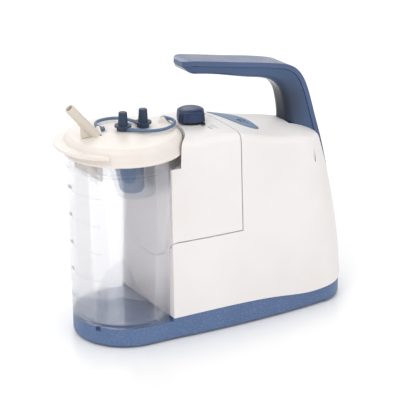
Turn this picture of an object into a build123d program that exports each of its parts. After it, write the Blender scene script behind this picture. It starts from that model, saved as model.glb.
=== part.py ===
from build123d import *
import os
from math import cos, hypot, radians, sin

# A portable suction pump: a D-shaped collection jar with its lid stands at the
# front of a plinth, and a housing with a carrying handle stands behind it.
# Distances along X are counted back from the jar's upright axis, and heights up
# from the table; jar_x puts the origin at the middle of the pump's footprint.
# Millimetres throughout.
tab_reach = 69.0            # lid's grip tab, in front of the jar axis
rear_reach = 245.0          # handle's tail, behind the jar axis
jar_x = (tab_reach - rear_reach) / 2

# Clearances
seam = 1.1                  # visible joint between two mouldings
gap = 0.4                   # between pieces that move apart
running = 0.05              # radial clearance of a shaft in its bearing

# Plinth
base_bottom = 1.5           # the rubber feet lift the plinth by this much
plinth_radius = 53.0        # front of the plinth, round the jar axis
deck_height = 20.6          # top of the plinth under the jar
plinth_wall = 3.0
plate_thickness = 2.5

# Body: the housing and the cover that splits from it
front_x = 25.6              # front face at the plinth
front_lean = 0.0146         # how fast the front face leans back with height
waist = 24.0                # height at which the plan sizes below hold
front_half = 54.5           # half widths of the body's plan
middle_half = 58.4
rear_half = 51.5
middle_x = 115.0
rear_corner_x = 234.0
rear_x = 244.2
rear_curve = 9.3e-4        # how fast the back curves forward with height
side_draft = 0.056
rear_corner_radius = 38.0
body_wall = 2.6
shoulder_radius = 9.0
body_sections = (8.0, 46.0, 88.0, 130.0, 172.0, 214.0)
# Crest of the roof: distance back, height, and fall at crown_half from the middle
crown_half = 45.0
crest = (
    (15.0, 205.2, 1.5),
    (45.0, 205.2, 1.5),
    (75.0, 204.9, 1.5),
    (105.0, 203.8, 2.0),
    (135.0, 200.0, 7.5),
    (165.0, 195.4, 10.0),
    (195.0, 188.4, 11.0),
    (225.0, 172.5, 12.0),
    (255.0, 148.0, 14.0),
)
seam_x = 104.5              # upright edge of the front cover
seam_height = 102.5         # its lower edge on the sides
front_dip = 78.0            # lowest point of its lower edge on the front face
dip_half = 50.6             # half width of that dip, out to the face's edges
recess_radius = 60.4        # hollow that takes the back of the lid
shelf_height = 176.5

# Jar
jar_radius = 53.2           # outer radius at the foot
jar_top_radius = 55.2
jar_flat = 24.4             # outer face of the flat back
jar_wall = 2.0
jar_foot = 21.6             # lower edge of the skirt
jar_floor = 26.6            # inside of the floor
flange_height = 178.2
flange_radius = 56.6
collar_radius = 54.6
jar_top = 194.0

# Lid
lid_radius = 58.8
lid_bottom = 189.6
lid_shoulder = 201.0
lid_top = 208.6
lid_wall = 2.2
cup_top_x = 2.5             # float cup under the lid, its back nearly upright
cup_low_x = 9.2
cup_top_radius = 17.5
cup_low_radius = 12.4
cup_bottom = 144.5
cup_bend = 6.0
cup_top = 200.0
cup_wall = 1.6
plug_x = (0.4, 22.6)        # two stoppers on the lid
plug_hole = 4.2
spigot_radius = 4.75
spigot_bore = 3.3
spigot_lean = 41.0          # degrees from upright, towards the front
spigot_length = 42.0
spigot_free = 20.0          # length that the tubing pushes over
stop_height = 0.2           # step that the tubing stops at
spigot_x = -29.0

# Handle
handle_half = 16.0
cap_depth = 5.0             # upper shell, above the parting line
tail_end = 48.0

# Regulator
knob_x = 76.5
knob_radius = 16.0
knob_bottom = 207.6
knob_top = 221.0
spindle_radius = 3.0

# Pump unit
motor_x = 152.0
motor_radius = 25.0
motor_bottom = 40.0
motor_top = 84.0
crank_height = 104.0
crank_throw = 3.0
crank_pin = 3.0
cylinder_radius = 14.0


def level(height):
    return Plane(origin=(jar_x, 0, height))


def upright(y=0.0):
    return Plane(origin=(jar_x, y, 0), x_dir=(1, 0, 0), z_dir=(0, -1, 0))


def across(distance):
    return Plane(origin=(jar_x + distance, 0, 0), x_dir=(0, 1, 0), z_dir=(1, 0, 0))


def keep(piece, name):
    piece.part.label = name
    export_step(piece.part, f"parts/{name}.step")


os.makedirs("parts", exist_ok=True)


# ---- Body block: the outer form of the housing, or its hollow when inset ----
def body_outline(height, inset):
    narrow = (height - waist) * side_draft + inset
    front = front_x + (height - waist) * front_lean + inset
    back = rear_x - rear_curve * (height - body_sections[0]) ** 2 - inset
    corner = back - (rear_x - rear_corner_x)
    with BuildSketch(level(height)) as outline:
        with BuildLine():
            near = ThreePointArc(
                (front, -front_half + narrow),
                (middle_x, -middle_half + narrow),
                (corner, -rear_half + narrow),
            )
            rear = ThreePointArc(near @ 1, (back, 0), (corner, rear_half - narrow))
            far = ThreePointArc(
                rear @ 1, (middle_x, middle_half - narrow), (front, front_half - narrow)
            )
            Line(far @ 1, near @ 0)
        make_face()
        fillet(vertices().sort_by(Axis.X)[-2:], rear_corner_radius)
    return outline.sketch


def body_block(inset):
    with BuildPart() as roof:
        for distance, height, fall in crest:
            with BuildSketch(across(distance)):
                with BuildLine():
                    edge = height - fall * (70.0 / crown_half) ** 2 - inset
                    Polyline((70, edge), (70, -20), (-70, -20), (-70, edge))
                    ThreePointArc((-70, edge), (0, height - inset), (70, edge))
                make_face()
        loft()
    with BuildPart() as block:
        for height in body_sections:
            add(body_outline(height, inset))
        loft()
        add(roof.part, mode=Mode.INTERSECT)
        shoulder = faces().sort_by(Axis.Z)[-1].edges()
        fillet(shoulder.filter_by(lambda edge: edge.center().X > jar_x + 40), shoulder_radius - inset)
    return block



def body_region(outset):
    # What the front cover takes: the upper front of the body, whose lower edge
    # runs level along the sides and sags in an arc across the front face.
    with BuildPart() as region:
        with BuildSketch(upright()):
            with Locations((0, seam_height - outset)):
                Rectangle(seam_x + outset, 120, align=(Align.MIN, Align.MIN))
        extrude(amount=70, both=True)
        with BuildSketch(across(0)):
            with BuildLine():
                top = seam_height - outset
                ThreePointArc((-dip_half, top), (0, front_dip - outset), (dip_half, top))
                Line((dip_half, top), (-dip_half, top))
            make_face()
        extrude(amount=front_x + front_lean * 100 + body_wall + 1.5)
    return region


def under_body(drop):
    # Everything below the wavy line where the body meets the plinth
    start = front_x - 0.4
    with BuildPart() as below:
        with BuildSketch(upright()):
            with BuildLine():
                wave = Spline(
                    (start, 24.0 - drop), (60, 25.0 - drop), (104, 25.0 - drop),
                    (150, 22.0 - drop), (188, 18.0 - drop), (218, 20.0 - drop), (260, 27.0 - drop),
                )
                Polyline(wave @ 1, (260, -5), (-80, -5), (-80, deck_height - drop),
                         (start, deck_height - drop), wave @ 0)
            make_face()
        extrude(amount=80, both=True)
    return below


body_outer = body_block(0)
body_inner = body_block(body_wall)

# ---- Plinth ----
post_x = (60.0, 196.0)
post_y = (47.0, 44.0)
post_radius = 5.0
screw_radius = 1.5
screw_head = 3.0
deck_level = 15.4           # floor of the plinth inside the body
under_deck = 12.4
platform_radius = 44.0
platform_height = 23.8
foot_radius = 8.0
screw_spots = [(x, side * y) for x, y in zip(post_x, post_y) for side in (-1, 1)]
foot_spots = [(x, side * y) for x, y in ((-18.0, 26.0), (205.0, 24.0)) for side in (-1, 1)]


def plinth_plan(height, inset):
    half = front_half - 0.6 - inset
    radius = plinth_radius - inset
    with BuildSketch(level(height)) as plan:
        Circle(radius)
        with BuildLine():
            Polyline((0, -radius), (front_x + 14, -half), (front_x + 14, half), (0, radius), close=True)
        make_face()
        add(body_outline(waist, 0.8 + inset).moved(Location((-jar_x, 0, -waist))))
    return plan.sketch


with BuildPart() as base_tray:
    add(plinth_plan(base_bottom, 0))
    extrude(amount=32)
    fillet(faces().sort_by(Axis.Z)[0].edges(), 3.5)
    add(under_body(0).part, mode=Mode.INTERSECT)
    add(plinth_plan(0, plinth_wall))
    extrude(amount=under_deck, mode=Mode.SUBTRACT)
    add(plinth_plan(deck_level, plinth_wall))
    extrude(amount=20, mode=Mode.SUBTRACT)
    with BuildSketch(level(under_deck - 0.1)):
        with Locations((-60, 0)):
            Rectangle(60 + front_x + 2, 130, align=(Align.MIN, Align.CENTER))
        add(plinth_plan(0, 0).moved(Location((-jar_x, 0, 0))), mode=Mode.INTERSECT)
    extrude(amount=deck_height - under_deck + 0.1)
    with BuildSketch(level(deck_height)):
        Circle(platform_radius)
        with Locations((12, 0)):
            Rectangle(60, 100, align=(Align.MIN, Align.CENTER), mode=Mode.SUBTRACT)
    extrude(amount=platform_height - deck_height)
    with BuildSketch(level(plate_thickness + base_bottom + 0.3)):
        with Locations(*screw_spots):
            Circle(post_radius)
    extrude(until=Until.NEXT)
    with Locations(*[(jar_x + x, y, 0) for x, y in screw_spots]):
        Hole(screw_radius + running)
    # Drain notch in the deck's front edge
    with BuildSketch(Plane(origin=(jar_x, 0, deck_height), x_dir=(-0.856, -0.516, 0))):
        with Locations((52, 0)):
            SlotOverall(9, 6)
    extrude(amount=-4, mode=Mode.SUBTRACT)
keep(base_tray, "base_tray")

with BuildPart() as bottom_plate:
    add(plinth_plan(base_bottom, plinth_wall + 0.4))
    extrude(amount=plate_thickness)
    with Locations(*[(jar_x + x, y, base_bottom) for x, y in screw_spots]):
        with Locations(Location((0, 0, 0), (180, 0, 0))):
            CounterBoreHole(screw_radius + running, screw_head + 0.2, 1.4)
keep(bottom_plate, "bottom_plate")

with BuildPart() as rubber_feet:
    with BuildSketch(level(0)):
        with Locations(*foot_spots):
            Circle(foot_radius)
    extrude(amount=base_bottom)
    fillet(faces().group_by(Axis.Z)[0].edges(), 0.5)
keep(rubber_feet, "rubber_feet")

with BuildPart() as base_screws:
    with BuildSketch(level(base_bottom + 0.2)):
        with Locations(*screw_spots):
            Circle(screw_head)
    extrude(amount=1.2)
    with BuildSketch(level(base_bottom + 0.4)):
        with Locations(*screw_spots):
            Circle(screw_radius)
    extrude(amount=24)
keep(base_screws, "base_screws")

# ---- Handle profiles, in the plane of symmetry ----
# Parting line along the top of the handle, from its tip to the end of its tail
handle_line = (
    (61.6, 270.4), (68.0, 271.4), (80.0, 270.2), (100.0, 267.0), (123.0, 263.2), (147.0, 259.6),
    (172.0, 255.0), (186.0, 250.6), (195.0, 243.6), (202.4, 232.0), (207.8, 218.0), (212.8, 201.6),
    (218.0, 184.8), (222.6, 170.0), (229.2, 144.5), (235.0, 119.0), (239.4, 96.0), (242.4, 76.0),
    (244.4, 60.0), (245.0, tail_end),
)
# Underside of the grip, one point for each of the first points above
grip_line = (
    (64.0, 263.4), (69.5, 258.6), (79.0, 256.4), (98.0, 253.4), (119.0, 248.6), (140.0, 244.0),
    (158.0, 239.6), (170.0, 233.4), (177.0, 225.0), (180.4, 215.0), (182.4, 204.0), (183.4, 192.0),
    (184.0, 180.0), (184.0, 168.0),
)
foot_bottom = 168.0
grip_half = 15.2


def shifted(points, depth):
    # Points moved square to the line through them, towards the inside of the bend
    moved = []
    for index, (x, z) in enumerate(points):
        before = points[max(index - 1, 0)]
        after = points[min(index + 1, len(points) - 1)]
        run, rise = after[0] - before[0], after[1] - before[1]
        length = hypot(run, rise)
        moved.append((x + depth * rise / length, z - depth * run / length))
    return moved


def band(low, high, half, first=0):
    # Strip that follows the handle's parting line, from one depth to another
    with BuildPart() as strip:
        with BuildSketch(upright()):
            with BuildLine():
                outer = Spline(*shifted(handle_line[first:], low))
                inner = Spline(*shifted(handle_line[first:], high))
                Line(outer @ 0, inner @ 0)
                Line(outer @ 1, inner @ 1)
            make_face()
        extrude(amount=half, both=True)
    return strip


def tip_plan(half, reach):
    # Rounded front end of the handle, seen from above
    with BuildPart() as prism:
        with BuildSketch(level(0)):
            with Locations((reach, 0)):
                Rectangle(260, 2 * half, align=(Align.MIN, Align.CENTER))
            fillet(vertices().sort_by(Axis.X)[:2], half * 0.8)
        extrude(amount=300)
    return prism


with BuildPart() as handle_upper_shell:
    add(band(0, cap_depth, handle_half).part)
    add(tip_plan(handle_half, 61.0).part, mode=Mode.INTERSECT)
keep(handle_upper_shell, "handle_upper_shell")

with BuildPart() as handle_lower_shell:
    for top, bottom in zip(shifted(handle_line, cap_depth + 0.4), grip_line):
        run, rise = bottom[0] - top[0], bottom[1] - top[1]
        section = Plane(origin=(jar_x + top[0], 0, top[1]), x_dir=(0, 1, 0), z_dir=(rise, 0, -run))
        with BuildSketch(section):
            Rectangle(2 * grip_half, hypot(run, rise), align=(Align.CENTER, Align.MIN))
            fillet(vertices().sort_by(Axis.Y)[-2:], min(0.62 * grip_half, 0.6 * hypot(run, rise)))
    loft()
    add(tip_plan(grip_half, 62.0).part, mode=Mode.INTERSECT)
    with BuildSketch(level(foot_bottom - 1)):
        with Locations((200, -8), (200, 8)):
            Circle(screw_radius + running)
    extrude(amount=12, mode=Mode.SUBTRACT)
keep(handle_lower_shell, "handle_lower_shell")

# ---- Control panel outline on the roof, behind the cover ----
panel_proud = 0.5
panel_depth = 3.0
button_x = 129.4
button_y = -12.0
button_radius = 5.6
button_top = 200.6


panel_fore = ((131.6, -31.2), (121.5, -22.0), (116.6, -5.0), (114.2, 10.0), (112.5, 26.0))
panel_aft = ((113.5, 28.5), (125.6, 19.0), (134.2, 4.0), (137.6, -12.0), (137.8, -24.5))


def panel_plan(outset):
    with BuildPart() as prism:
        with BuildSketch(level(150)):
            with BuildLine():
                fore = Spline(*[(x - outset, y) for x, y in panel_fore])
                aft = Spline(*[(x + outset, y + 0.6 * outset) for x, y in panel_aft])
                ThreePointArc(fore @ 1, (112.2 - outset, 28.2 + outset), aft @ 0)
                ThreePointArc(aft @ 1, (136.4 + outset, -30.6 - outset), fore @ 0)
            make_face()
        extrude(amount=80)
    return prism


# ---- Housing and its front cover ----
vent_count = 7
vent_pitch = 7.0
inlet_x = 190.0
inlet_z = 46.0
inlet_width = 24.0
inlet_depth = 16.0
port_height = 197.0
port_radius = 3.0
recess_back = recess_radius + body_wall

with BuildPart() as main_housing:
    add(body_outer.part)
    add(body_inner.part, mode=Mode.SUBTRACT)
    add(body_region(seam).part, mode=Mode.SUBTRACT)
    add(under_body(-0.3).part, mode=Mode.SUBTRACT)
    add(band(-1.5, cap_depth + 0.3, handle_half + 0.3, first=11).part, mode=Mode.SUBTRACT)
    with BuildSketch(level(foot_bottom - gap)):
        with Locations((182.9, 0)):
            Rectangle(35.3, 2 * handle_half - 1.0, align=(Align.MIN, Align.CENTER))
    extrude(amount=60, mode=Mode.SUBTRACT)
    add(panel_plan(0.15).part, mode=Mode.SUBTRACT)
    # Posts for the screws that come up through the plinth, webbed to the sides
    with BuildSketch(level(deck_level + 0.2)):
        with Locations(*screw_spots):
            Circle(post_radius)
    extrude(amount=26)
    with BuildSketch(level(30)):
        for x, y in screw_spots:
            with Locations((x, y + (4.6 if y > 0 else -4.6))):
                Rectangle(3, 6)
    extrude(amount=11.6)
    with Locations(*[(jar_x + x, y, 0) for x, y in screw_spots]):
        Hole(screw_radius + running)
    # Cooling slots and the power inlet's opening, both in the far side
    with BuildSketch(upright(30)):
        with Locations((140, 62)):
            with GridLocations(vent_pitch, 0, vent_count, 1):
                SlotOverall(30, 3, rotation=90)
        with Locations((inlet_x, inlet_z)):
            Rectangle(inlet_width + 0.4, inlet_depth + 0.4)
    extrude(amount=-40, mode=Mode.SUBTRACT)
keep(main_housing, "main_housing")

with BuildPart() as cover_hollow:
    add(body_inner.part)
    with BuildSketch(level(shelf_height - body_wall)):
        Circle(recess_back)
    extrude(amount=60, mode=Mode.SUBTRACT)

with BuildPart() as front_cover:
    add(body_outer.part)
    add(body_region(0).part, mode=Mode.INTERSECT)
    add(cover_hollow.part, mode=Mode.SUBTRACT)
    with BuildSketch(level(shelf_height)):
        Circle(recess_radius)
    extrude(amount=60, mode=Mode.SUBTRACT)
    with BuildSketch(level(shelf_height + 10)):
        with Locations((knob_x, 0)):
            Circle(spindle_radius + 0.6)
    extrude(amount=60, mode=Mode.SUBTRACT)
    with BuildSketch(across(50)):
        with Locations((0, port_height)):
            Circle(port_radius + running)
    extrude(amount=20, mode=Mode.SUBTRACT)
keep(front_cover, "front_cover")

with BuildPart() as control_panel:
    add(Pos(0, 0, panel_proud) * body_outer.part)
    add(Pos(0, 0, -panel_depth) * body_outer.part, mode=Mode.SUBTRACT)
    add(panel_plan(0).part, mode=Mode.INTERSECT)
    with BuildSketch(level(150)):
        with Locations((button_x, button_y)):
            Circle(button_radius + gap)
    extrude(amount=80, mode=Mode.SUBTRACT)
keep(control_panel, "control_panel")

with BuildPart() as power_button:
    with BuildSketch(level(button_top - 2.6)):
        with Locations((button_x, button_y)):
            Circle(button_radius)
    extrude(amount=2.6)
    fillet(faces().sort_by(Axis.Z)[-1].edges(), 0.4)
    with BuildSketch(level(button_top - 0.3)):
        with Locations((button_x, button_y)):
            Circle(3.6)
            Circle(2.7, mode=Mode.SUBTRACT)
    extrude(amount=1, mode=Mode.SUBTRACT)
    with BuildSketch(level(button_top - 7)):
        with Locations((button_x, button_y)):
            Circle(1.5)
    extrude(amount=4.4)
keep(power_button, "power_button")

with BuildPart() as button_spring:
    with BuildSketch(level(button_top - 6.2)):
        with Locations((button_x, button_y)):
            Circle(2.6)
            Circle(2.0, mode=Mode.SUBTRACT)
    extrude(amount=3.3)
keep(button_spring, "button_spring")

with BuildPart() as power_switch:
    with BuildSketch(level(button_top - 16)):
        with Locations((button_x, button_y)):
            Rectangle(12, 12)
    extrude(amount=9.5)
    with Locations((jar_x + button_x, button_y, button_top - 6.5)):
        Hole(2.0, depth=4)
keep(power_switch, "power_switch")

with BuildPart() as handle_screws:
    with BuildSketch(level(foot_bottom - 2.0)):
        with Locations((200, -8), (200, 8)):
            Circle(screw_head)
    extrude(amount=1.8)
    with BuildSketch(level(foot_bottom - 1.0)):
        with Locations((200, -8), (200, 8)):
            Circle(screw_radius)
    extrude(amount=11)
keep(handle_screws, "handle_screws")

# ---- Jar ----
cone_rate = (jar_top_radius - jar_radius) / (flange_height - jar_foot)


def jar_form(low, high, inset):
    # D-shaped column between two heights, its flat back inset like its round wall
    with BuildPart() as column:
        with BuildSketch(upright()):
            with BuildLine():
                bottom = jar_radius - inset + (low - jar_foot) * cone_rate
                top = jar_radius - inset + (high - jar_foot) * cone_rate
                Polyline((0, low), (bottom, low), (top, high), (0, high), close=True)
            make_face()
        revolve(axis=Axis((jar_x, 0, 0), (0, 0, 1)))
        with BuildSketch(level(low - 1)):
            with Locations((jar_flat - inset, 0)):
                Rectangle(60, 140, align=(Align.MIN, Align.CENTER))
        extrude(amount=high - low + 2, mode=Mode.SUBTRACT)
    return column


with BuildPart() as jar:
    add(jar_form(jar_foot, flange_height, 0).part)
    with BuildSketch(level(flange_height)):
        Circle(flange_radius)
    extrude(amount=2.4)
    with BuildSketch(level(flange_height + 2.4)):
        Circle(collar_radius)
    extrude(amount=jar_top - flange_height - 2.4)
    with BuildSketch(level(flange_height + 2.4)):
        Circle(collar_radius - jar_wall)
    extrude(amount=30, mode=Mode.SUBTRACT)
    add(jar_form(jar_floor, flange_height + 2.5, jar_wall).part, mode=Mode.SUBTRACT)
    add(jar_form(jar_foot - 1, jar_floor - jar_wall, jar_wall).part, mode=Mode.SUBTRACT)
    with BuildSketch(level(jar_floor)):
        Circle(9)
        Circle(7.6, mode=Mode.SUBTRACT)
    extrude(amount=0.5)
keep(jar, "jar")

# ---- Lid ----
cup_tabs = 4
clip_spots = ((-18.0, 9.6, 0.0), (50.0, 7.6, 50.0))   # X, Y and turn in degrees
fin_gap = 5.0
fin_thickness = 2.2
spigot_plane = Plane(
    origin=(jar_x + spigot_x, 0, lid_top - 1),
    x_dir=(cos(radians(spigot_lean)), 0, sin(radians(spigot_lean))),
    z_dir=(-sin(radians(spigot_lean)), 0, cos(radians(spigot_lean))),
)

with BuildPart() as jar_lid:
    with BuildSketch(upright()):
        with BuildLine():
            Polyline((55.6, lid_bottom), (lid_radius, lid_bottom), (lid_radius, lid_bottom + 2.0),
                     (lid_radius - 0.6, lid_bottom + 2.8), (lid_radius - 1.0, lid_shoulder))
            ThreePointArc((lid_radius - 1.0, lid_shoulder), (lid_radius - 3.2, lid_shoulder + 4.4),
                          (lid_radius - 9.0, lid_shoulder + 6.4))
            ThreePointArc((lid_radius - 9.0, lid_shoulder + 6.4), (30, lid_top - 0.5), (0, lid_top))
            Polyline((0, lid_top), (0, lid_top - lid_wall), (52.4, lid_top - lid_wall - 1.6),
                     (52.4, jar_top + 2.4), (55.6, jar_top + 2.4), (55.6, lid_bottom))
        make_face()
    revolve(axis=Axis((jar_x, 0, 0), (0, 0, 1)))
    # Crescent grip tab at the front
    with BuildSketch(level(198.6)):
        with Locations((-12, 0)):
            Circle(57)
        Circle(lid_radius - 2.0, mode=Mode.SUBTRACT)
        with Locations((-40, 0)):
            Rectangle(200, 200, align=(Align.MIN, Align.CENTER), mode=Mode.SUBTRACT)
        fillet(vertices().sort_by(Axis.X)[-4:], 0.9)
    extrude(amount=3.0)
    with BuildSketch(level(180)):
        with Locations(*[(x, 0) for x in plug_x]):
            Circle(plug_hole)
    extrude(amount=60, mode=Mode.SUBTRACT)
    # Pairs of fins that hold the far ends of the tethers
    for x, y, turn in clip_spots:
        along = (-sin(radians(turn)), cos(radians(turn)), 0)
        across_clip = (cos(radians(turn)), sin(radians(turn)), 0)
        clip = Plane(origin=(jar_x + x, y, lid_top - 2.2), x_dir=along, z_dir=across_clip)
        for start in (-fin_gap / 2 - fin_thickness, fin_gap / 2):
            with BuildSketch(clip.offset(start)):
                with BuildLine():
                    Polyline((-6.0, 0), (6.0, 0), (1.6, 6.8), (-1.0, 6.8), close=True)
                make_face()
            extrude(amount=fin_thickness)
    with BuildSketch(spigot_plane.offset(-12)):
        Circle(spigot_radius + stop_height + running)
    extrude(amount=40, mode=Mode.SUBTRACT)
    with BuildSketch(across(50)):
        with Locations((0, port_height)):
            Circle(2.4)
    extrude(amount=12, mode=Mode.SUBTRACT)
keep(jar_lid, "jar_lid")

with BuildPart() as inlet_spigot:
    with BuildSketch(spigot_plane.offset(0.5)):
        Circle(spigot_radius + stop_height)
    extrude(amount=spigot_length - spigot_free)
    with BuildSketch(spigot_plane.offset(0.5)):
        Circle(spigot_radius)
    extrude(amount=spigot_length)
    with BuildSketch(upright()):
        with BuildLine():
            Polyline((-45.0, lid_top - 0.2), (-45.0, 220), (-31, lid_top - 0.2), close=True)
        make_face()
    extrude(amount=1.6, both=True)
    with BuildSketch(spigot_plane):
        Circle(spigot_bore)
    extrude(amount=spigot_length + 1, mode=Mode.SUBTRACT)
keep(inlet_spigot, "inlet_spigot")

with BuildPart() as lid_gasket:
    with BuildSketch(level(jar_top + 0.3)):
        Circle(collar_radius - 0.1)
        Circle(collar_radius - jar_wall + 0.1, mode=Mode.SUBTRACT)
    extrude(amount=2.0)
keep(lid_gasket, "lid_gasket")

def cup_form(inset):
    with BuildPart() as form:
        with BuildSketch(level(cup_bottom + cup_bend)):
            with Locations((cup_low_x, 0)):
                Circle(cup_low_radius - inset)
        with BuildSketch(level(cup_top)):
            with Locations((cup_top_x, 0)):
                Circle(cup_top_radius - inset)
        loft()
        with BuildSketch(level(cup_bottom + cup_bend)):
            with Locations((cup_low_x, 0)):
                Circle(cup_low_radius - inset)
        extrude(amount=inset - cup_bend)
        fillet(edges().group_by(Axis.Z)[0], cup_bend - inset - 0.2)
    return form


with BuildPart() as float_cup:
    add(cup_form(0).part)
    add(cup_form(cup_wall).part, mode=Mode.SUBTRACT)
    with BuildSketch(level(cup_top - 1)):
        with Locations(Location((cup_top_x, 0, 0), (0, 0, 45))):
            with PolarLocations(cup_top_radius - 0.9, cup_tabs):
                Rectangle(1.6, 7)
    extrude(amount=lid_top - lid_wall - 0.6 - cup_top + 1)
keep(float_cup, "float_cup")

with BuildPart() as float_body:
    with BuildSketch(level(cup_bottom + cup_wall + 0.5)):
        with Locations((cup_low_x, 0)):
            Circle(8.6)
    extrude(amount=24)
    fillet(edges().filter_by(GeomType.CIRCLE), 3)
keep(float_body, "float_body")

with BuildPart() as splash_baffle:
    with BuildSketch(level(164)):
        with Locations((-37.5, 0)):
            Circle(13.4)
            Circle(11.6, mode=Mode.SUBTRACT)
        with Locations((-37.5, 3)):
            Rectangle(40, 40, align=(Align.CENTER, Align.MIN), mode=Mode.SUBTRACT)
    extrude(amount=lid_top - lid_wall - 1.8 - 164)
    with BuildSketch(upright()):
        with BuildLine():
            slope = Spline((-56, 181), (-48, 178), (-38, 170), (-22, 163))
            Polyline(slope @ 1, (-22, 150), (-56, 150), slope @ 0)
        make_face()
    extrude(amount=40, both=True, mode=Mode.SUBTRACT)
keep(splash_baffle, "splash_baffle")

for name, x in zip(("plug_front", "plug_rear"), plug_x):
    with BuildPart() as plug:
        with BuildSketch(level(lid_top - 4)):
            with Locations((x, 0)):
                Circle(plug_hole - gap)
        extrude(amount=4.6)
        with BuildSketch(level(lid_top + 0.5)):
            with Locations((x, 0)):
                Circle(6.2)
        extrude(amount=3.4)
        with BuildSketch(level(lid_top + 3.9)):
            with Locations((x, 0)):
                RegularPolygon(11.2, 3)
                fillet(vertices(), 3.6)
                Circle(8.3)
        extrude(amount=1.8)
        with BuildSketch(level(lid_top + 5.7)):
            with Locations((x, 0)):
                Circle(4.8)
        extrude(amount=12.8, taper=3)
        fillet(faces().sort_by(Axis.Z)[-1].edges(), 0.8)
    keep(plug, name)

# Tethers lie on the lid from each plug's collar round to its clip
tether_radius = 1.7
tether_height = lid_top + 2.4
tether_routes = {
    "tether_front": ((6.6, -6.8), (17.0, -19.6), (31.0, -24.4), (45.0, -18.6), (54.6, -7.0), (55.4, 3.0),
                     (50.0, 7.6)),
    "tether_rear": ((19.6, 8.6), (16.5, 26.0), (4.9, 33.6), (-9.3, 32.0), (-17.0, 24.0), (-18.0, 9.6)),
}
for name, route in tether_routes.items():
    spans = [hypot(b[0] - a[0], b[1] - a[1]) for a, b in zip(route, route[1:])]
    with BuildPart() as tether:
        with BuildLine() as path:
            FilletPolyline(*[(jar_x + x, y, tether_height) for x, y in route], radius=0.9 * min(spans))
        with BuildSketch(Plane(origin=path.line @ 0, z_dir=path.line % 0)):
            Circle(tether_radius)
        sweep()
    keep(tether, name)

# ---- Vacuum port and regulator ----
with BuildPart() as port_seal:
    with BuildSketch(across(lid_radius + 0.3)):
        with Locations((0, port_height)):
            Circle(4.3)
            Circle(2.6, mode=Mode.SUBTRACT)
    extrude(amount=0.9)
keep(port_seal, "port_seal")
barb_x = 67.4

with BuildPart() as vacuum_port:
    with BuildSketch(across(lid_radius + 1.3)):
        with Locations((0, port_height)):
            Circle(port_radius)
    extrude(amount=barb_x + 1.5 - lid_radius)
    with BuildSketch(level(184)):
        with Locations((barb_x, 0)):
            Circle(2.6)
    extrude(amount=port_height - 184)
    with BuildSketch(across(lid_radius)):
        with Locations((0, port_height)):
            Circle(1.6)
    extrude(amount=barb_x - lid_radius, mode=Mode.SUBTRACT)
    with BuildSketch(level(180)):
        with Locations((barb_x, 0)):
            Circle(1.6)
    extrude(amount=port_height - 180, mode=Mode.SUBTRACT)
keep(vacuum_port, "vacuum_port")

regulator_top = 168.0
regulator_bottom = 132.0
regulator_radius = 12.0
regulator_bore = 9.0
neck_radius = 5.0
barb_height = 145.0

with BuildPart() as regulator_body:
    with BuildSketch(level(regulator_bottom)):
        with Locations((knob_x, 0)):
            Circle(regulator_radius)
    extrude(amount=regulator_top - regulator_bottom)
    with BuildSketch(level(regulator_top)):
        with Locations((knob_x, 0)):
            Circle(neck_radius)
    extrude(amount=201.5 - regulator_top)
    with BuildSketch(upright(-20)):
        with Locations((knob_x, barb_height)):
            Circle(2.6)
    extrude(amount=-40)
    with BuildSketch(level(regulator_bottom + 3)):
        with Locations((knob_x, 0)):
            Circle(regulator_bore)
    extrude(amount=regulator_top - regulator_bottom - 6, mode=Mode.SUBTRACT)
    with BuildSketch(level(regulator_top - 4)):
        with Locations((knob_x, 0)):
            Circle(spindle_radius + running)
    extrude(amount=60, mode=Mode.SUBTRACT)
    with BuildSketch(upright(-30)):
        with Locations((knob_x, barb_height)):
            Circle(1.5)
    extrude(amount=-60, mode=Mode.SUBTRACT)
keep(regulator_body, "regulator_body")

with BuildPart() as regulator_spindle:
    with BuildSketch(level(153)):
        with Locations((knob_x, 0)):
            Circle(spindle_radius)
    extrude(amount=knob_top - 5 - 153)
keep(regulator_spindle, "regulator_spindle")

with BuildPart() as spring_seat:
    with BuildSketch(level(158)):
        with Locations((knob_x, 0)):
            Circle(regulator_bore - 0.3)
            Circle(spindle_radius + running, mode=Mode.SUBTRACT)
    extrude(amount=4)
keep(spring_seat, "spring_seat")

with BuildPart() as regulator_spring:
    with BuildSketch(level(139.6)):
        with Locations((knob_x, 0)):
            Circle(7.4)
            Circle(6.2, mode=Mode.SUBTRACT)
    extrude(amount=18)
keep(regulator_spring, "regulator_spring")

with BuildPart() as valve_poppet:
    with BuildSketch(level(136)):
        with Locations((knob_x, 0)):
            Circle(regulator_bore - 0.3)
    extrude(amount=3.2)
keep(valve_poppet, "valve_poppet")

flute_count = 24
with BuildPart() as regulator_knob:
    with BuildSketch(level(knob_bottom)):
        with Locations((knob_x, 0)):
            Circle(knob_radius)
            with PolarLocations(knob_radius + 0.7, flute_count):
                Circle(1.4, mode=Mode.SUBTRACT)
    extrude(amount=knob_top - knob_bottom - 5)
    with BuildSketch(level(knob_top - 5.2)):
        with Locations((knob_x, 0)):
            Circle(knob_radius - 0.6)
    extrude(amount=5.2)
    fillet(faces().sort_by(Axis.Z)[-1].edges(), 4.4)
    with BuildSketch(level(205.6)):
        with Locations((knob_x, 0)):
            Circle(knob_radius - 3.5)
        with Locations((knob_x + 4.6, -knob_radius - 0.6)):
            Circle(2.2)
        with Locations((knob_x + 3.4, -knob_radius + 3)):
            Rectangle(3.6, 7, rotation=16)
    extrude(amount=knob_bottom - 205.6 + 0.4)
    with BuildSketch(level(200)):
        with Locations((knob_x, 0)):
            Circle(spindle_radius + 0.02)
    extrude(amount=knob_top - 4.8 - 200, mode=Mode.SUBTRACT)
keep(regulator_knob, "regulator_knob")

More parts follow.
